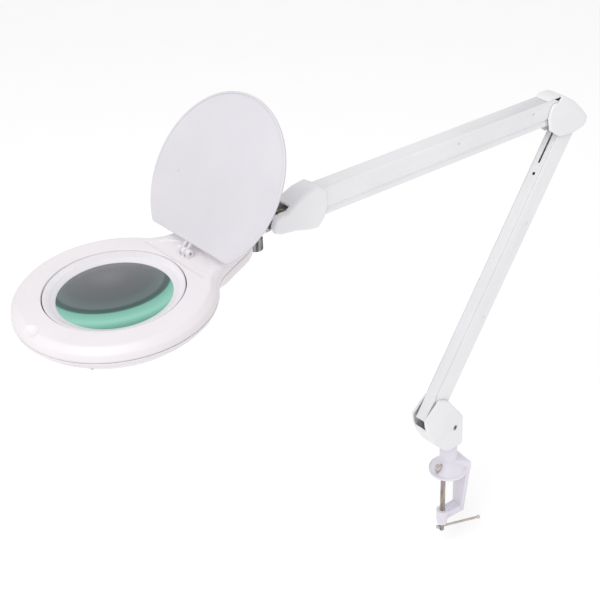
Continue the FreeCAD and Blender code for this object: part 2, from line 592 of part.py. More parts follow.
def chrome_joint():
    x, z = TILT_PIVOT
    low, high = BARREL_Z
    link = hull_of_discs([(x, z, 7.5), (SWIVEL_X + 11, high + 5.5, 4.5)], -4.0, 4.0)
    eye = post(8.0, SWIVEL_X, 0, high + 0.4, high + 6.9)
    arm = box(SWIVEL_X, SWIVEL_X + 12, -4, 4, high + 0.4, high + 6.9)
    link = link.cut(box(-340, -300, -5, 5, 500, high + 0.4)).fuse([eye, arm])
    link = link.cut(rod(3.0 + RUNNING, x, z, -5, 5)).cut(post(3.0 + RUNNING, SWIVEL_X, 0, 500, 560))
    save("tilt_link", link.removeSplitter())
    washers_ = [rod(6.5, x, z, y, y + 0.2).cut(rod(3.05, x, z, y - 1, y + 1)) for y in (-4.25, 4.05)]
    save("tilt_washers", *washers_)

    barrel = post(BARREL_R, SWIVEL_X, 0, low, high).cut(post(3.0, SWIVEL_X, 0, low + 3, high + 1))
    stud = swivel_stud(STUD_R).cut(post(7.5, SWIVEL_X, 0, low, high)).cut(swivel_pin())
    barrel = softened(barrel, 1.2, lambda e: isinstance(e.Curve, Part.Circle) and e.Curve.Radius > BARREL_R - 0.1)
    barrel = barrel.fuse(stud).cut(post(3.0, SWIVEL_X, 0, low + 3, high + 1)).removeSplitter()
    save("swivel_barrel", barrel)
    bolt = post(3.0, SWIVEL_X, 0, low + 3, high + 7.1).fuse(post(5.0, SWIVEL_X, 0, high + 7.1, high + 10.1))
    save("swivel_bolt", bolt.removeSplitter())


# ---- head, in its own frame: lens edge circle at the origin, axis up ------------------------------
def head_place(shape):
    out = shape.copy()
    out.rotate(V(0, 0, 0), V(0, 1, 0), -HEAD_NOD)
    out.translate(V(*HEAD_ORIGIN))
    return out


def neck_outline(shrink):
    half = [(60, 74), (74, 69.5), (88, 60), (103, 50), (125, 41), (145, 34), (157, 29.5), (168, 22)]
    half = [(x - (shrink if x > 160 else 0), y - shrink) for x, y in half]
    tip = (176 - shrink, 10 - shrink * 0.5)
    ring = half + [tip]
    return [(x, -y) for x, y in ring] + [(x, y) for x, y in reversed(ring)]


def head_outer(shrink):
    """The head's whole outer form, or the same form moved inwards by shrink."""
    s = shrink
    disc = turned([(0, HEAD_BOTTOM + s), (91 - s, HEAD_BOTTOM + s), (101 - s, -20 + s * 0.5), (108 - s, -12),
                   (109 - s, PARTING), (107.2 - s, -1.0), (104 - s, 3.6 - s * 0.4), (97.5 - s * 0.6, HEAD_TOP - s),
                   (0, HEAD_TOP - s)])
    neck = plan_prism(neck_outline(s), -22 + s, HEAD_TOP - s)
    if shrink == 0:
        neck = softened(neck, 3.5, lambda e: abs(e.BoundBox.ZMin - HEAD_TOP) < 0.01 and e.BoundBox.XMax > 61)
        neck = softened(neck, 4.0, lambda e: abs(e.BoundBox.ZMax + 22) < 0.01 and e.BoundBox.XMax > 61)
    return disc.fuse(neck).removeSplitter()


def head():
    boss = Part.makeCylinder(11.5, 36, V(139, 0, -17.5), V(1, 0, 0)).common(box(100, 175.5, -20, 20, -40, 0))
    outer, inner = head_outer(0).fuse(boss).removeSplitter(), head_outer(WALL).cut(boss)
    shell = outer.cut(inner)
    big = 400
    upper_half = box(-big, big, -big, big, PARTING, big)
    lower_half = box(-big, big, -big, big, -big, PARTING)
    top = shell.common(upper_half)
    seat = turned([(BEZEL_R + 0.1, 2.0), (BEZEL_R + 3, 2.0), (BEZEL_R + 3, HEAD_TOP), (BEZEL_R + 0.1, HEAD_TOP)])
    top = top.cut(post(BEZEL_R + 0.1, 0, 0, -20, 20)).fuse(seat)
    recess = plan_prism([(78, -51), (86, -46), (97, -38), (106, -26), (110, -12), (110, 12), (106, 26), (97, 38),
                         (86, 46), (78, 51)], HEAD_TOP - 1.6, 20)
    top = top.cut(recess)
    scoop = Part.makeSphere(13, V(-104, 0, 14.5))
    top = top.cut(scoop)
    for y0, y1 in ((-9.5, -5.6), (-1.8, 1.8), (5.6, 9.5)):
        lug = rod(4.2, HINGE[0], HINGE[1], y0, y1).fuse(box(HINGE[0] - 4.2, HINGE[0] + 4.2, y0, y1, 3.5, HINGE[1]))
        top = top.fuse(lug)
    top = top.cut(rod(1.6, HINGE[0], HINGE[1], -20, 20))
    save("head_top_shell", head_place(top.removeSplitter()))

    posts = [(96 * cos(radians(a)), 96 * sin(radians(a))) for a in (140, -140, 50, -50)] + [(132, 27), (132, -27)]
    floors = [-24.0] * 4 + [-22.0] * 2
    cavity = inner.cut(post(67.2, 0, 0, -60, 60))
    for k in range(6):
        cavity = cavity.cut(spun(box(66.5, 102, -1.2, 1.2, HEAD_BOTTOM + WALL + 1.8, -14), 60 * k + 30))
    for x, y in posts:
        cavity = cavity.cut(post(4.4, x, y, -60, 0))
    window = turned([(67.2, HEAD_BOTTOM - 1), (86, HEAD_BOTTOM - 1), (86, HEAD_BOTTOM + 6), (67.2, HEAD_BOTTOM + 6)])
    bottom = outer.common(lower_half).cut(cavity).cut(window).cut(post(65.2, 0, 0, -60, 0))
    bottom = bottom.cut(post(6.15, 120, 0, -30, -15))
    screws = []
    for (x, y), floor in zip(posts, floors):
        bottom = bottom.cut(post(1.5, x, y, -40, 0)).cut(post(3.0, x, y, -40, floor + 3.0))
        screws.append(post(1.5, x, y, floor + 2.8, PARTING).fuse(post(2.8, x, y, floor + 1.3, floor + 3.0)))
    bottom = head_place(bottom.removeSplitter()).cut(swivel_stud(STUD_R + RUNNING)).cut(swivel_pin())
    save("head_bottom_shell", bottom)
    save("swivel_pin", swivel_pin())
    save("head_screws", *[head_place(s) for s in screws])

    bezel = turned([(LENS_SEEN_R, -0.2), (LENS_SEEN_R + 0.8, 0.6), (65.5, 2.0), (74.2, 6.3), (BEZEL_R, 6.3),
                    (BEZEL_R, 3.4), (70, 0.6), (67.4, -1.2), (67.4, -3.2), (LENS_SEEN_R + 2.6, -3.2),
                    (LENS_SEEN_R + 2.6, -0.6), (LENS_SEEN_R, -0.9)])
    save("lens_bezel", head_place(bezel))
    save("lens", head_place(lens_solid()))
    gasket = turned([(LENS_R - 2.4, PARTING + 0.05), (67.2, PARTING + 0.05), (67.2, -3.3), (LENS_R + 0.15, -3.3),
                     (LENS_R + 0.15, -4.4), (LENS_R - 2.4, -4.4)])
    gasket = gasket.cut(lens_solid())
    save("lens_gasket", head_place(gasket))

    board = post(88, 0, 0, -13.9, -12.3).cut(post(67.6, 0, 0, -20, 0))
    save("led_board", head_place(board))
    leds = [spun(box(75.2, 78.8, -1.8, 1.8, -15.3, -13.9), 6 * k + 3) for k in range(60)]
    save("leds", *[head_place(led) for led in leds])
    diffuser = turned([(67.4, HEAD_BOTTOM + 0.2), (85.8, HEAD_BOTTOM + 0.2), (85.8, HEAD_BOTTOM + 4.1),
                       (84.2, HEAD_BOTTOM + 4.1), (84.2, HEAD_BOTTOM + 1.8), (69.0, HEAD_BOTTOM + 1.8),
                       (69.0, HEAD_BOTTOM + 4.1), (67.4, HEAD_BOTTOM + 4.1)])
    save("light_diffuser", head_place(diffuser))
    driver = box(108, 148, -18, 18, -3.2, -1.6)
    parts_on = [box(112, 122, -14, -4, -7, -3.2), post(4, 132, 9, -9, -3.2), box(126, 134, -12, -2, -8, -3.2)]
    save("led_driver", head_place(driver.fuse(parts_on).removeSplitter()))
    button = post(6.0, 120, 0, -24.2, -17).fuse(post(7.2, 120, 0, -19.4, -17)).removeSplitter()
    save("power_button", head_place(button))
    switch = box(112, 128, -6.5, 6.5, -15.2, -8.6)
    save("power_switch", head_place(switch))


def lens_solid():
    sag, edge = 8.0, 3.2
    sphere_r = (LENS_R ** 2 + sag ** 2) / (2 * sag)
    rim_top = -0.95
    upper = Part.makeSphere(sphere_r, V(0, 0, rim_top + sag - sphere_r))
    lower = Part.makeSphere(sphere_r, V(0, 0, rim_top - edge - sag + sphere_r))
    return upper.common(lower).common(post(LENS_R, 0, 0, -40, 40))


# ---- lid ----------------------------------------------------------------------------------------
def lid():
    cut_low = box(LID_CHORD_X, 200, -200, 200, -50, 50)
    disc = post(LID_R, LID_CENTRE_X, 0, LID_LOW, LID_HIGH).cut(cut_low)
    disc = softened(disc, 1.2, lambda e: e.BoundBox.ZMin > LID_HIGH - 0.01)
    hollow = post(LID_R - 2.6, LID_CENTRE_X, 0, LID_LOW - 1, LID_LOW + 1.2)
    hollow = hollow.cut(box(LID_CHORD_X - 2.6, 200, -200, 200, -50, 50))
    disc = disc.cut(hollow)
    pip = post(1.4, 20.8, 59.3, LID_LOW + 0.6, LID_LOW + 1.4)
    disc = disc.fuse(pip)
    for y0, y1 in ((-5.4, -2.0), (2.0, 5.4)):
        knuckle_ = rod(4.0, HINGE[0], HINGE[1], y0, y1)
        tongue = box(LID_CHORD_X - 1, HINGE[0], y0, y1, LID_LOW + 0.6, LID_HIGH)
        disc = disc.fuse([knuckle_, tongue])
    disc = disc.cut(rod(1.5 + RUNNING, HINGE[0], HINGE[1], -20, 20)).removeSplitter()
    save("lens_cover", head_place(opened(disc)))
    pin = rod(1.5, HINGE[0], HINGE[1], -9.5, 9.5)
    save("lens_cover_pin", head_place(pin))


def opened(shape):
    out = shape.copy()
    out.rotate(V(HINGE[0], 0, HINGE[1]), V(0, 1, 0), LID_OPEN)
    return out


clamp()
thumb_screw()
knuckle()
arms()
elbow()
head_bracket()
chrome_joint()
head()
lid()
print("pivots", [tuple(round(v, 2) for v in p) for p in (K1, K2, E1, E2, E3, E4, H1, H2)])
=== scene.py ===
"""Looks of the clamp-on magnifying lamp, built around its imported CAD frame."""

import json
import math

import bmesh
import bpy
from mathutils import Matrix, Vector


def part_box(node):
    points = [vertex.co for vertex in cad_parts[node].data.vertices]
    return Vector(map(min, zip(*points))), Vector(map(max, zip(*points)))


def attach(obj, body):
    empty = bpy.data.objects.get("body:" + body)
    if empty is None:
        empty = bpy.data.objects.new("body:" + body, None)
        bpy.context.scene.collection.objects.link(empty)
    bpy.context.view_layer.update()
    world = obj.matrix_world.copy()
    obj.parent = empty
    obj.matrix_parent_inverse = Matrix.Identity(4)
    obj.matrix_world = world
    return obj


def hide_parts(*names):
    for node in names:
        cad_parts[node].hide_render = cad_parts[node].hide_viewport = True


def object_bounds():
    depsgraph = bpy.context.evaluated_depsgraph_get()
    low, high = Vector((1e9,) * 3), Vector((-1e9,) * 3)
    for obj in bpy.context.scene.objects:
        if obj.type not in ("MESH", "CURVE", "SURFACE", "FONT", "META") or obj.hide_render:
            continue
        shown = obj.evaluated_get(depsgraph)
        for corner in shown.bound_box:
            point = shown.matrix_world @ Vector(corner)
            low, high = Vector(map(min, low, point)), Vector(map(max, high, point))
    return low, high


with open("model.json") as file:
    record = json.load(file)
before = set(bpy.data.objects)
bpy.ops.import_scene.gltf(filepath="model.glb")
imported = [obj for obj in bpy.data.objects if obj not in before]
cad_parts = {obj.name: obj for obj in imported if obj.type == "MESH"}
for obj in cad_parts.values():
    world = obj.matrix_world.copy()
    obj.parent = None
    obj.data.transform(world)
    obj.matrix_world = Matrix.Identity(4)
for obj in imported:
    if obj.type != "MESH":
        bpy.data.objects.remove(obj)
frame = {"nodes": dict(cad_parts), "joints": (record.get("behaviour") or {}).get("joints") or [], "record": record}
cad_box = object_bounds()

MM = 0.001
TAU = 2 * math.pi
RECORD = frame["record"]
NODES = frame["nodes"]
JOINT = {j["name"]: j for j in frame["joints"]}


def joint_place(name):
    return Vector(JOINT[name]["pos_m"]) / MM


# ---- materials: colour, gloss and grain by nodes --------------------------------------------------
def node_at(tree, kind, **values):
    node = tree.nodes.new(kind)
    for key, value in values.items():
        if key in node.inputs:
            node.inputs[key].default_value = value
        else:
            setattr(node, key, value)
    return node


def mottled(tree, coord, scale, low, high, stretch=(1, 1, 1), detail=3.0, span=(0.35, 0.65)):
    """A soft noise between two colours."""
    mapping = node_at(tree, "ShaderNodeMapping", Scale=stretch)
    noise = node_at(tree, "ShaderNodeTexNoise", Scale=scale, Detail=detail)
    ramp = node_at(tree, "ShaderNodeValToRGB")
    ramp.color_ramp.elements[0].position, ramp.color_ramp.elements[1].position = span
    ramp.color_ramp.elements[0].color = (*low, 1)
    ramp.color_ramp.elements[1].color = (*high, 1)
    tree.links.new(coord.outputs["Object"], mapping.inputs["Vector"])
    tree.links.new(mapping.outputs["Vector"], noise.inputs["Vector"])
    tree.links.new(noise.outputs["Fac"], ramp.inputs["Fac"])
    return ramp.outputs["Color"]


def grained(tree, coord, height, scale, stretch=(1, 1, 1), detail=2.0):
    mapping = node_at(tree, "ShaderNodeMapping", Scale=stretch)
    noise = node_at(tree, "ShaderNodeTexNoise", Scale=scale, Detail=detail)
    bump = node_at(tree, "ShaderNodeBump", Strength=0.35, Distance=height)
    tree.links.new(coord.outputs["Object"], mapping.inputs["Vector"])
    tree.links.new(mapping.outputs["Vector"], noise.inputs["Vector"])
    tree.links.new(noise.outputs["Fac"], bump.inputs["Height"])
    return bump.outputs["Normal"]


def surface(name, colour, rough, metal=0.0, spread=0.02, patch=14.0, grain=900.0, height=2e-5,
            stretch=(1, 1, 1), rough_spread=0.06, **sockets):
    """A painted, moulded or bare surface: mottled colour, uneven gloss and a fine grain."""
    material = bpy.data.materials.new(name)
    material.use_nodes = True
    tree = material.node_tree
    shader = tree.nodes["Principled BSDF"]
    coord = node_at(tree, "ShaderNodeTexCoord")
    low = tuple(max(0.0, c * (1 - spread)) for c in colour)
    high = tuple(min(1.0, c * (1 + spread)) for c in colour)
    tint = mottled(tree, coord, patch, low, high, stretch)
    tree.links.new(tint, shader.inputs["Base Color"])
    gloss = node_at(tree, "ShaderNodeTexNoise", Scale=patch * 4, Detail=4.0)
    span = node_at(tree, "ShaderNodeMapRange")
    span.inputs["To Min"].default_value = max(0.02, rough - rough_spread)
    span.inputs["To Max"].default_value = rough + rough_spread
    tree.links.new(coord.outputs["Object"], gloss.inputs["Vector"])
    tree.links.new(gloss.outputs["Fac"], span.inputs["Value"])
    tree.links.new(span.outputs["Result"], shader.inputs["Roughness"])
    tree.links.new(grained(tree, coord, height, grain, stretch), shader.inputs["Normal"])
    shader.inputs["Metallic"].default_value = metal
    for socket, value in sockets.items():
        shader.inputs[socket.replace("_", " ")].default_value = value
    return material


LENS_R = 63.5
# where the painted green crescent of light lies, in lens radii, and the painted reflection colours from the
# shifted centre outwards, lighter in the middle as a painted highlight
GLASS_REFLECTION_SHIFT = (-0.16, -0.38, 0.0)
GLASS_REFLECTION_STOPS = [(0.0, (0.16, 0.165, 0.185)), (0.30, (0.115, 0.118, 0.13)), (0.52, (0.10, 0.125, 0.13)),
               (0.66, (0.13, 0.17, 0.175)), (0.70, (0.035, 0.085, 0.075)), (0.745, (0.05, 0.12, 0.10)),
               (0.765, (0.20, 0.50, 0.40)), (0.90, (0.32, 0.68, 0.55)), (1.0, (0.14, 0.38, 0.30))]
GLASS_SPAN = 1.35


def painted_reflection_glass(centre):
    """Lens glass with painted reflection: a smoke-grey painted reflection over most of its face and a painted
    green crescent of light on the near side.
    """
    material = bpy.data.materials.new("optical_glass")
    material.use_nodes = True
    tree = material.node_tree
    shader = tree.nodes["Principled BSDF"]
    coord = node_at(tree, "ShaderNodeTexCoord")
    place = node_at(tree, "ShaderNodeMapping", vector_type="TEXTURE", Location=centre)
    tree.links.new(coord.outputs["Object"], place.inputs["Vector"])
    size = 1 / (MM * LENS_R * GLASS_SPAN)
    shift = node_at(tree, "ShaderNodeMapping", Location=[v / GLASS_SPAN for v in GLASS_REFLECTION_SHIFT],
                    Scale=(size, size, 0))
    tree.links.new(place.outputs["Vector"], shift.inputs["Vector"])
    away = node_at(tree, "ShaderNodeVectorMath", operation="LENGTH")
    tree.links.new(shift.outputs["Vector"], away.inputs[0])
    ramp = node_at(tree, "ShaderNodeValToRGB")
    stops = ramp.color_ramp.elements
    stops[0].position, stops[0].color = GLASS_REFLECTION_STOPS[0][0], (*GLASS_REFLECTION_STOPS[0][1], 1)
    stops[1].position, stops[1].color = GLASS_REFLECTION_STOPS[-1][0], (*GLASS_REFLECTION_STOPS[-1][1], 1)
    for position, colour in GLASS_REFLECTION_STOPS[1:-1]:
        stops.new(position).color = (*colour, 1)
    tree.links.new(away.outputs["Value"], ramp.inputs["Fac"])
    # the ramp paints the lens's reflection, its lighter middle and its green crescent of light into the base
    # colour
    tree.links.new(ramp.outputs["Color"], shader.inputs["Base Color"])
    shader.inputs["Roughness"].default_value = 0.03
    shader.inputs["IOR"].default_value = 1.35
    shader.inputs["Transmission Weight"].default_value = 0.25
    shader.inputs["Coat Weight"].default_value = 0.5
    shader.inputs["Coat Roughness"].default_value = 0.02
    return material


MATERIALS = {
    "white_steel": surface("white_steel", (0.77, 0.76, 0.785), 0.34, grain=700, height=3e-5, Coat_Weight=0.25,
                           Coat_Roughness=0.2),
    "white_plastic": surface("white_plastic", (0.79, 0.78, 0.805), 0.42, grain=1600),
    "head_plastic": surface("head_plastic", (0.735, 0.70, 0.725), 0.38, grain=1800, height=1.5e-5),
    "bezel_plastic": surface("bezel_plastic", (0.70, 0.68, 0.71), 0.40, grain=1800, height=1.5e-5),
    "cover_plastic": surface("cover_plastic", (0.62, 0.605, 0.64), 0.45, grain=1600, height=1.5e-5),
    "clamp_paint": surface("clamp_paint", (0.73, 0.70, 0.78), 0.40, spread=0.04, grain=600, height=6e-5),
    "dark_steel": surface("dark_steel", (0.37, 0.32, 0.29), 0.26, 1.0, 0.50, 260, 500, 4e-5, (1, 1, 0.12)),
    "bright_steel": surface("bright_steel", (0.58, 0.54, 0.51), 0.28, 1.0, 0.12, 50, 800, 2e-5),
    "zinc_steel": surface("zinc_steel", (0.62, 0.64, 0.56), 0.34, 1.0, 0.12, 40, 700, 2e-5),
    # chrome: a dark base colour with strong streaks along Z, painted reflection bands in place of dark and bright
    # reflections
    "chrome": surface("chrome", (0.40, 0.40, 0.41), 0.10, 1.0, 0.85, 150, 300, 4e-6, (1, 1, 0.06),
                      rough_spread=0.03),
    "spring_steel": surface("spring_steel", (0.5, 0.5, 0.52), 0.3, 1.0, 0.1, 60, 900, 2e-5),
    "black_rubber": surface("black_rubber", (0.03, 0.03, 0.032), 0.7, 0.0, 0.3, 40, 900, 6e-5),
    "nylon": surface("nylon", (0.78, 0.77, 0.72), 0.5, 0.0, 0.03, 30, 1200, 2e-5),
    "circuit_board": surface("circuit_board", (0.80, 0.84, 0.80), 0.45, 0.0, 0.06, 60, 900, 2e-5),
    "led_body": surface("led_body", (0.86, 0.78, 0.36), 0.3, 0.0, 0.1, 80, 900, 1e-5),
    "diffuser": surface("diffuser", (0.86, 0.87, 0.88), 0.55, 0.0, 0.03, 20, 900, 4e-5),
    "button_plastic": surface("button_plastic", (0.035, 0.035, 0.038), 0.45, 0.0, 0.15, 40, 1200, 3e-5),
}
lens_low, lens_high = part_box("lens")
# the lens glass carries painted reflection and a painted green crescent of light in its colour
MATERIALS["optical_glass"] = painted_reflection_glass(tuple((lens_low + lens_high) / 2))


# ---- mesh tools -----------------------------------------------------------------------------------
def finished(obj, body, slot, *replaced, sharp=35.0):
    """Give a piece its finish, its body and the nodes that it stands for."""
    mesh = obj.data
    mesh.materials.clear()
    mesh.materials.append(MATERIALS[slot])
    mesh.polygons.foreach_set("use_smooth", [True] * len(mesh.polygons))
    mesh.set_sharp_from_angle(angle=math.radians(sharp))
    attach(obj, body)
    if replaced:
        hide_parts(*replaced)
    return obj


def piece(name, verts, faces, place=None):
    """A mesh object from points in millimetres, in the row frame once place is applied."""
    mesh = bpy.data.meshes.new(name)
    mesh.from_pydata([Vector(v) for v in verts], [], faces)
    mesh.transform((Matrix.Scale(MM, 4)) @ (place or Matrix.Identity(4)))
    bm = bmesh.new()
    bm.from_mesh(mesh)
    bmesh.ops.remove_doubles(bm, verts=bm.verts, dist=1e-7)
    bmesh.ops.recalc_face_normals(bm, faces=bm.faces)
    bm.to_mesh(mesh)
    bm.free()
    obj = bpy.data.objects.new(name, mesh)
    bpy.context.scene.collection.objects.link(obj)
    return obj


def apply_modifiers(obj):
    graph = bpy.context.evaluated_depsgraph_get()
    baked = bpy.data.meshes.new_from_object(obj.evaluated_get(graph))
    obj.modifiers.clear()
    obj.data = baked
    return obj


def bevelled(obj, width, segments=3, angle=30.0):
    bevel = obj.modifiers.new("edge", "BEVEL")
    bevel.width = width * MM
    bevel.segments = segments
    bevel.limit_method = "ANGLE"
    bevel.angle_limit = math.radians(angle)
    bevel.use_clamp_overlap = True
    return apply_modifiers(obj)


def loft(rings, closed=False, cap_first=False, cap_last=False):
    """Points and faces of a skin over rings with the same number of points."""
    count = len(rings[0])
    verts = [point for ring in rings for point in ring]
    faces = []
    pairs = list(zip(range(len(rings) - 1), range(1, len(rings))))
    if closed:
        pairs.append((len(rings) - 1, 0))
    for a, b in pairs:
        for k in range(count):
            n = (k + 1) % count
            faces.append((a * count + k, a * count + n, b * count + n, b * count + k))
    if cap_first:
        faces.append(tuple(range(count)))
    if cap_last:
        faces.append(tuple(range((len(rings) - 1) * count, len(rings) * count)))
    return verts, faces


def lathe(profile, segments, height=lambda r, a: 0.0):
    """A closed r, z profile turned about Z; height lifts a point by its radius and angle."""
    rings = [[(r * math.cos(TAU * k / segments), r * math.sin(TAU * k / segments),
               z + height(r, k)) for k in range(segments)] for r, z in profile]
    return loft(rings, closed=True)


def prism(name, points, y0, y1, place=None, width=0.6):
    """A side-view outline given width along Y, with rounded edges."""
    count = len(points)
    verts = [(x, y0, z) for x, z in points] + [(x, y1, z) for x, z in points]
    faces = [tuple(range(count)), tuple(range(2 * count - 1, count - 1, -1))]
    faces += [(k, (k + 1) % count, count + (k + 1) % count, count + k) for k in range(count)]
    return bevelled(piece(name, verts, faces, place), width)


def smoothstep(x):
    x = min(1.0, max(0.0, x))
    return x * x * (3 - 2 * x)


def resampled(points, count, blur):
    """A closed outline walked in even steps and smoothed."""
    lengths = [0.0]
    loop = points + points[:1]
    for a, b in zip(loop, loop[1:]):
        lengths.append(lengths[-1] + math.dist(a, b))
    out, seg = [], 0
    for k in range(count):
        want = lengths[-1] * k / count
        while lengths[seg + 1] < want:
            seg += 1
        t = (want - lengths[seg]) / (lengths[seg + 1] - lengths[seg])
        a, b = loop[seg], loop[seg + 1]
        out.append((a[0] + (b[0] - a[0]) * t, a[1] + (b[1] - a[1]) * t))
    for _ in range(blur):
        out = [((out[k - 1][0] + 2 * out[k][0] + out[(k + 1) % count][0]) / 4,
                (out[k - 1][1] + 2 * out[k][1] + out[(k + 1) % count][1]) / 4) for k in range(count)]
    return out


def outward(outline):
    """Unit normals of a closed outline that runs counter-clockwise."""
    count = len(outline)
    normals = []
    for k in range(count):
        (ax, ay), (bx, by) = outline[k - 1], outline[(k + 1) % count]
        d = math.hypot(bx - ax, by - ay)
        normals.append(((by - ay) / d, -(bx - ax) / d))
    return normals


def rounded_cad(node, body, slot, width, segments=3, sharp=35.0):
    """The CAD node's own form with its edges rounded, as a finer piece in its place."""
    mesh = NODES[node].data.copy()
    obj = bpy.data.objects.new(node + "_fine", mesh)
    bpy.context.scene.collection.objects.link(obj)
    bm = bmesh.new()
    bm.from_mesh(mesh)
    bmesh.ops.remove_doubles(bm, verts=bm.verts, dist=3e-6)
    bmesh.ops.dissolve_limit(bm, angle_limit=math.radians(1.5), verts=bm.verts, edges=bm.edges)
    bm.to_mesh(mesh)
    bm.free()
    bevelled(obj, width, segments, 32.0)
    return finished(obj, body, slot, node, sharp=sharp)


BODY_OF = {n: b for b, ns in RECORD["behaviour"]["bodies"].items() for n in ns}
SLOT_OF = {s["node"]: s["material_slot"] for s in RECORD["subparts"]}

# ---- every CAD node gets its finish ----------------------------------------------------------------
for node, obj in NODES.items():
    if not obj.material_slots:
        obj.data.materials.append(None)
    for slot in obj.material_slots:
        slot.link = "OBJECT"
        slot.material = MATERIALS[SLOT_OF[node]]

EDGES = {
    "clamp_frame": 1.2, "knuckle_cover_right": 0.6, "knuckle_cover_left": 0.6,
    "elbow_cover_right": 0.6, "elbow_cover_left": 0.6, "head_cover_right": 0.6, "head_cover_left": 0.6,
    "lower_arm_outer_channel": 0.45, "lower_arm_inner_channel": 0.35, "upper_arm_outer_channel": 0.45,
    "upper_arm_inner_channel": 0.35, "upper_arm_end_cap": 0.4, "head_bracket": 0.5, "elbow_bracket": 0.5,
    "knuckle_frame": 0.5, "tilt_link": 0.6, "post_bush": 0.3, "pressure_disc": 0.4,
    "post_thumb_screw": 0.5, "power_button": 0.5, "swivel_bolt": 0.4,
}
for node, width in EDGES.items():
    rounded_cad(node, BODY_OF[node], SLOT_OF[node], width)

# ---- head -----------------------------------------------------------------------------------------
HEAD_UP = Vector(JOINT["power_press"]["axis"]).normalized()
HEAD_RIGHT = Vector((HEAD_UP.z, 0, -HEAD_UP.x))
HINGE = Vector((94.0, 0.0, 10.0))
HEAD_ORIGIN = joint_place("lens_cover_hinge") - HEAD_RIGHT * HINGE.x - HEAD_UP * HINGE.z
HEAD = Matrix.Translation(HEAD_ORIGIN) @ Matrix((
    (HEAD_RIGHT.x, 0, HEAD_UP.x, 0), (0, 1, 0, 0), (HEAD_RIGHT.z, 0, HEAD_UP.z, 0), (0, 0, 0, 1)))
HEAD_R = 109.0
HOLE_R = 75.35
NECK = [(176, 0), (176, 10), (168, 22), (157, 29.5), (145, 34), (125, 41), (103, 50), (93, 58.5)]
# inset from the outline and height, from the parting line up: on the round body, and on the neck
TOP_BODY = [(1.3, -7.55), (0.3, -7.55), (0, -7.2), (0.25, -5), (0.7, -2.5), (1.1, -0.8), (1.6, 0.4),
            (2.4, 1.4), (4.1, 3.1), (6.4, 5.3), (7.2, 6.0), (8.0, 6.5), (9.2, 6.9), (11.0, 7.0)]
TOP_NECK = [(1.3, -7.55), (0.3, -7.55), (0, -7.2), (0.05, -5), (0.1, -2.5), (0.2, -0.8), (0.3, 0.6),
            (0.5, 2.1), (0.9, 3.7), (1.6, 5.0), (2.4, 5.9), (3.4, 6.5), (4.8, 6.9), (7.0, 7.0)]
LOW_BODY = [(1.3, -8.45), (0.3, -8.45), (0, -8.8), (0.6, -10.6), (1.2, -12.6), (3.3, -15), (5.7, -17.6),
            (8, -20), (12.0, -23.3), (15.5, -26.2), (17.6, -27.5), (19.5, -28)]
LOW_NECK = [(1.3, -8.45), (0.3, -8.45), (0, -8.8), (0, -10.6), (0, -12.6), (0.05, -15), (0.3, -17.6),
            (0.9, -19.4), (1.8, -20.7), (3.0, -21.5), (4.2, -21.9), (6.0, -22)]
RECESS = [(78, -51), (86, -46), (97, -38), (106, -26), (110, -12), (110, 12), (106, 26), (97, 38), (86, 46),
          (78, 51)]


def head_outline(count):
    start = math.atan2(NECK[-1][1], NECK[-1][0])
    angles = [start + (math.pi - start) * k / 90 for k in range(1, 91)]
    arc = [(HEAD_R * math.cos(a), HEAD_R * math.sin(a)) for a in angles]
    half = NECK + arc
    return resampled(half + [(x, -y) for x, y in reversed(half[1:-1])], count, 14)


OUTLINE = head_outline(760)
NORMALS = outward(OUTLINE)


def head_ring(body_level, neck_level):
    ring = []
    for (x, y), (nx, ny) in zip(OUTLINE, NORMALS):
        w = smoothstep((x - 88) / 26)
        inset = body_level[0] * (1 - w) + neck_level[0] * w
        ring.append((x - nx * inset, y - ny * inset, body_level[1] * (1 - w) + neck_level[1] * w))
    return ring


def towards_circle(ring, radius, t, z=None):
    """A ring moved a share of the way to a circle round the lens axis."""
    out = []
    for x, y, ring_z in ring:
        d = math.hypot(x, y)
        scale = 1 + t * (radius / d - 1)
        out.append((x * scale, y * scale, ring_z if z is None else z))
    return out


def recess_depth(x, y):
    depth = 1e9
    for (ax, ay), (bx, by) in zip(RECESS, RECESS[1:] + RECESS[:1]):
        d = math.hypot(bx - ax, by - ay)
        depth = min(depth, (-(x - ax) * (by - ay) + (y - ay) * (bx - ax)) / d)
    return 2.0 * smoothstep(depth / 1.0)


def scooped(x, y, z, deeper=0.0):
    flat = (x + 104) ** 2 + y ** 2
    return min(z, 14.5 - deeper - math.sqrt(13 ** 2 - flat)) if flat < 13 ** 2 else z


def head_top():
    rings = [head_ring(a, b) for a, b in zip(TOP_BODY, TOP_NECK)]
    edge = rings[-1]
    steps = 46
    rings += [towards_circle(edge, HOLE_R + 1.3, k / steps) for k in range(1, steps + 1)]
    rings = [[(x, y, scooped(x, y, z - (recess_depth(x, y) if z > 6.0 else 0.0))) for x, y, z in r]
             for r in rings]
    rings.append(towards_circle(edge, HOLE_R + 0.95, 1, 6.85))
    rings.append(towards_circle(edge, HOLE_R + 0.7, 1, 6.3))
    rings.append(towards_circle(edge, HOLE_R + 0.5, 1, 4.6))
    rings.append(towards_circle(edge, HOLE_R, 1, 2.0))
    rings.append(towards_circle(edge, HOLE_R + 2.6, 1, 2.0))
    rings.append(towards_circle(edge, HOLE_R + 2.6, 1, 4.4))
    inner = [head_ring((14, 4.4), (9, 4.4)), head_ring((7, 1.5), (3.4, 3.0)), head_ring((4, -3), (2.6, -2)),
             head_ring((3.2, -7.75), (2.4, -7.75))]
    rings += [[(x, y, scooped(x, y, z, 2.0)) for x, y, z in r] for r in inner]
    verts, faces = loft(rings, closed=True)
    finished(piece("head_top", verts, faces, HEAD), "head", "head_plastic", "head_top_shell", sharp=50)


def low_floor(x, y, z):
    """The underside: the neck's floor, or the round body's lower cone where that is deeper."""
    r = math.hypot(x, y)
    cone = -28.0 if r < 91 else -28.0 + (r - 91) * 0.8
    return min(z, cone) if x > 60 else z


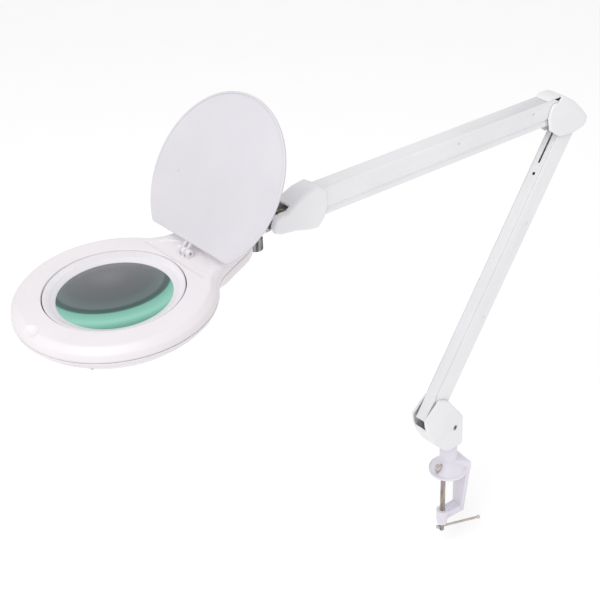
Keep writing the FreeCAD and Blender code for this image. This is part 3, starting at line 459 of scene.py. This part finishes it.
def head_low():
    rings = [head_ring(a, b) for a, b in zip(LOW_BODY, LOW_NECK)]
    edge = rings[-1]
    steps = 24
    for k in range(1, steps + 1):
        ring = towards_circle(edge, 86.2, k / steps)
        rings.append([(x, y, low_floor(x, y, z)) for x, y, z in ring])
    rings[-1] = towards_circle(edge, 86.2, 1, -28.0)
    rings.append(towards_circle(edge, 86.0, 1, -27.6))
    rings.append(towards_circle(edge, 86.0, 1, -23.4))
    rings.append(towards_circle(edge, 88.5, 1, -23.4))
    rings += [head_ring((14, -19.5), (6, -19.6)), head_ring((6, -14.5), (2.4, -14.5)),
              head_ring((3.2, -8.25), (2.4, -8.25))]
    verts, faces = loft(rings, closed=True)
    finished(piece("head_low", verts, faces, HEAD), "head", "head_plastic", "head_bottom_shell", sharp=50)


head_top()
head_low()


def lens_tube():
    profile = [(65.25, -27.6), (65.6, -28), (66.8, -28), (67.2, -27.6), (67.2, -8.2), (65.25, -8.2)]
    verts, faces = lathe(profile, 160)
    finished(piece("lens_tube", verts, faces, HEAD), "head", "head_plastic")


lens_tube()


SOCKET_Z = -17.5      # height of the swivel socket's axis


def socket():
    rings = []
    for x, r in ((139, 9.5), (141, 11.2), (143, 11.5), (173.8, 11.5), (175.0, 11.1), (175.5, 10.3)):
        rings.append([(x, r * math.cos(TAU * k / 64), SOCKET_Z + r * math.sin(TAU * k / 64))
                      for k in range(64)])
    verts, faces = loft(rings, cap_first=True, cap_last=True)
    finished(piece("swivel_socket", verts, faces, HEAD), "head", "head_plastic")


socket()

RIBS = 190
RIB_SHAPE = (0.0, 0.55, 0.65, 0.55, 0.0, -0.15)


def rib_height(r, k):
    band = smoothstep((r - 66.6) / 0.8) * smoothstep((73.9 - r) / 0.7)
    return RIB_SHAPE[k % len(RIB_SHAPE)] * band


def bezel():
    upper = [(61.5, -0.9), (61.5, -0.25), (61.9, 0.1), (62.6, 0.55), (64, 1.25), (65.6, 2.0),
             (66.4, 2.4), (66.8, 2.6), (67.6, 3.0), (69.5, 3.9), (71.5, 4.95), (73.0, 5.7),
             (73.6, 6.0), (74.1, 6.2), (74.5, 6.1), (74.8, 5.2)]
    lower = [(74.8, 3.4), (70, 0.6), (67.4, -1.2), (67.4, -3.2), (64.1, -3.2), (64.1, -0.6)]
    verts, faces = lathe(upper + lower, RIBS * len(RIB_SHAPE), rib_height)
    finished(piece("ribbed_bezel", verts, faces, HEAD), "head", "bezel_plastic", "lens_bezel", sharp=60)


bezel()


def lens():
    sag, edge, rim_top = 8.0, 3.2, -0.95
    sphere_r = (LENS_R ** 2 + sag ** 2) / (2 * sag)
    radii = [LENS_R * (k / 26) ** 0.8 for k in range(1, 27)]
    cap = [math.sqrt(sphere_r ** 2 - r ** 2) - (sphere_r - sag) for r in radii]
    segments = 144

    def ring(r, z):
        return [(r * math.cos(TAU * k / segments), r * math.sin(TAU * k / segments), z)
                for k in range(segments)]
    rings = [ring(r, rim_top + c) for r, c in zip(radii, cap)]
    rings += [ring(r, rim_top - edge - c) for r, c in reversed(list(zip(radii, cap)))]
    verts, faces = loft(rings, cap_first=True, cap_last=True)
    finished(piece("lens_glass", verts, faces, HEAD), "head", "optical_glass", "lens", sharp=60)


lens()


# ---- lens cover and its hinge ------------------------------------------------------------------------
LID_R, LID_CENTRE_X, LID_CHORD_X = 97.3, 11.0, 83.7
LID_OPEN = math.radians(127.1)      # the cover stands open by this much at rest
PIP_AT = (20.8, 59.3)
LID = HEAD @ Matrix.Translation(HINGE) @ Matrix.Rotation(LID_OPEN, 4, "Y") @ Matrix.Translation(-HINGE)


def round_bar(x, z, r, low, points=18):
    """A hinge finger's outline: a round eye on a foot that goes down to low."""
    arc = [(x + r * math.cos(math.pi * k / points), z + r * math.sin(math.pi * k / points))
           for k in range(points + 1)]
    return arc + [(x - r, low), (x + r, low)]


def lid():
    reach = math.acos((LID_CHORD_X - LID_CENTRE_X) / LID_R)
    arc = [(LID_CENTRE_X + LID_R * math.cos(reach + (TAU - 2 * reach) * k / 240),
            LID_R * math.sin(reach + (TAU - 2 * reach) * k / 240)) for k in range(241)]
    outline = resampled(arc, 480, 3)
    normals = outward(outline)

    def ring(inset, z):
        return [(x - nx * inset, y - ny * inset, z) for (x, y), (nx, ny) in zip(outline, normals)]

    def shrunk(share, z, inset):
        return [(LID_CENTRE_X + (x - LID_CENTRE_X) * share, y * share, z) for x, y, _ in ring(inset, z)]
    rings = [shrunk(s, 9.55, 3.4) for s in (0.02, 0.3, 0.6, 0.85, 0.97)]
    rim = [(3.2, 9.55), (2.7, 9.4), (2.5, 9.1), (2.4, 8.6), (2.1, 8.35), (1.2, 8.3), (0.45, 8.4),
           (0.12, 8.8), (0, 9.4), (0, 10.3), (0.25, 11.0), (0.8, 11.45), (1.7, 11.6)]
    rings += [ring(inset, z) for inset, z in rim]
    rings += [shrunk(s, 11.6, 1.8) for s in (0.97, 0.85, 0.6, 0.3, 0.02)]
    verts, faces = loft(rings, cap_first=True, cap_last=True)
    disc = piece("lens_cover_disc", verts, faces, LID)
    finished(disc, "lens_cover", "cover_plastic", "lens_cover", sharp=60)
    for name, y0, y1 in (("near", -5.4, -2.0), ("far", 2.0, 5.4)):
        finger = [(82.7, 8.9), (HINGE.x - 2, 7.0), (HINGE.x + 1, 6.1), (HINGE.x + 3.2, 7.6),
                  (HINGE.x + 4, 10), (HINGE.x + 3.0, 12.6), (HINGE.x, 14), (HINGE.x - 3, 12.8), (82.7, 11.5)]
        finished(prism("cover_finger_" + name, finger, y0, y1, LID, 0.5), "lens_cover", "cover_plastic")
    pip = [(0.01, 8.8), (1.0, 8.8), (1.4, 9.1), (1.45, 9.7), (0.01, 9.7)]
    verts, faces = lathe(pip, 24)
    verts = [(x + PIP_AT[0], y + PIP_AT[1], z) for x, y, z in verts]
    finished(piece("cover_pip", verts, faces, LID), "lens_cover", "cover_plastic")


lid()
for number, (y0, y1) in enumerate(((-9.5, -5.6), (-1.8, 1.8), (5.6, 9.5))):
    lug = prism(f"hinge_lug_{number}", round_bar(HINGE.x, HINGE.z, 4.2, 3.6), y0, y1, HEAD, 0.5)
    finished(lug, "head", "head_plastic")


# ---- clamp screw with its thread ----------------------------------------------------------------------
def clamp_screw():
    low, high = (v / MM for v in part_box("clamp_screw"))
    centre = (low + high) / 2
    core, pitch, depth, sides, steps, fading = 3.8, 1.25, 0.55, 40, 4, 6
    chamfer, neck = 1.2, 5.2
    top = high.z - neck
    count = int((top - low.z - chamfer) / pitch * steps)

    def ring(z, radius):
        return [(radius(k) * math.cos(TAU * k / sides), radius(k) * math.sin(TAU * k / sides), z)
                for k in range(sides)]

    rings = [ring(low.z, lambda k: 0.05), ring(low.z, lambda k: 2.9)]
    for step in range(count + 1):
        fade = smoothstep(step / fading) * smoothstep((count - step) / fading)

        def thread(k, step=step, fade=fade):
            phase = (step / steps - k / sides) % 1.0
            return core - depth * abs(2 * phase - 1) * fade - 0.05
        rings.append(ring(low.z + chamfer + step * pitch / steps, thread))
    for r, z in ((3.0, top + 0.2), (3.0, high.z - 0.5), (2.5, high.z)):
        rings.append(ring(z, lambda k, r=r: r))
    verts, faces = loft(rings, cap_first=True, cap_last=True)
    screw = piece("threaded_screw", verts, faces, Matrix.Translation((centre.x, centre.y, 0)))
    finished(screw, "clamp_screw", "dark_steel", "clamp_screw", sharp=70)


clamp_screw()

# ---- floor, light and camera ----------------------------------------------------------------------------
scene = bpy.context.scene
low_corner = Vector(cad_box[0])
FLOOR_DROP = 0.05
FLOOR_HALF = 12.0
floor_mesh = bpy.data.meshes.new("floor")
corners = [(x * FLOOR_HALF, y * FLOOR_HALF, 0) for x, y in ((-1, -1), (1, -1), (1, 1), (-1, 1))]
floor_mesh.from_pydata(corners, [], [(0, 1, 2, 3)])
floor = bpy.data.objects.new("floor", floor_mesh)
floor.location = (0, 0, low_corner.z - FLOOR_DROP)
scene.collection.objects.link(floor)
floor_material = surface("floor_paper", (0.93, 0.93, 0.93), 0.9, spread=0.004, height=1e-6)
floor_shader = floor_material.node_tree.nodes["Principled BSDF"]
floor_shader.inputs["Emission Color"].default_value = (1, 1, 1, 1)
floor_shader.inputs["Emission Strength"].default_value = 0.16
floor_shader.inputs["Specular IOR Level"].default_value = 0.0
floor_mesh.materials.append(floor_material)

world = bpy.data.worlds.new("studio")
scene.world = world
world.use_nodes = True
world.node_tree.nodes["Background"].inputs["Color"].default_value = (1.0, 1.0, 1.0, 1)
world.node_tree.nodes["Background"].inputs["Strength"].default_value = 0.76


def soft_light(name, place, target, width, power):
    data = bpy.data.lights.new(name, "AREA")
    data.shape = "SQUARE"
    data.size = width
    data.energy = power
    light = bpy.data.objects.new(name, data)
    light.location = place
    light.rotation_euler = (Vector(target) - Vector(place)).to_track_quat("-Z", "Y").to_euler()
    scene.collection.objects.link(light)


MIDDLE = (Vector(cad_box[0]) + Vector(cad_box[1])) / 2
soft_light("key", MIDDLE + Vector((-1.6, -0.6, 2.2)), MIDDLE, 1.8, 36)
soft_light("fill", MIDDLE + Vector((1.4, -1.8, 1.0)), MIDDLE, 2.0, 3)

CAMERA_PLACE = Vector((-1.1574, -1.0635747, 1.3219488))
CAMERA_PITCH, CAMERA_HEADING, CAMERA_ROLL = 0.5791895802, 0.6973140859, -0.0397047585
forward = Vector((math.sin(CAMERA_HEADING) * math.cos(CAMERA_PITCH),
                  math.cos(CAMERA_HEADING) * math.cos(CAMERA_PITCH), -math.sin(CAMERA_PITCH)))
level = Vector((math.cos(CAMERA_HEADING), -math.sin(CAMERA_HEADING), 0))
upright = level.cross(forward)
right = math.cos(CAMERA_ROLL) * level + math.sin(CAMERA_ROLL) * upright
up = -math.sin(CAMERA_ROLL) * level + math.cos(CAMERA_ROLL) * upright
lens_data = bpy.data.cameras.new("view")
lens_data.lens = 83.94
lens_data.sensor_width = 36.0
camera = bpy.data.objects.new("view", lens_data)
camera.matrix_world = Matrix.Translation(CAMERA_PLACE) @ Matrix((right, up, -forward)).transposed().to_4x4()
scene.collection.objects.link(camera)
scene.camera = camera
scene.view_settings.view_transform = "Standard"
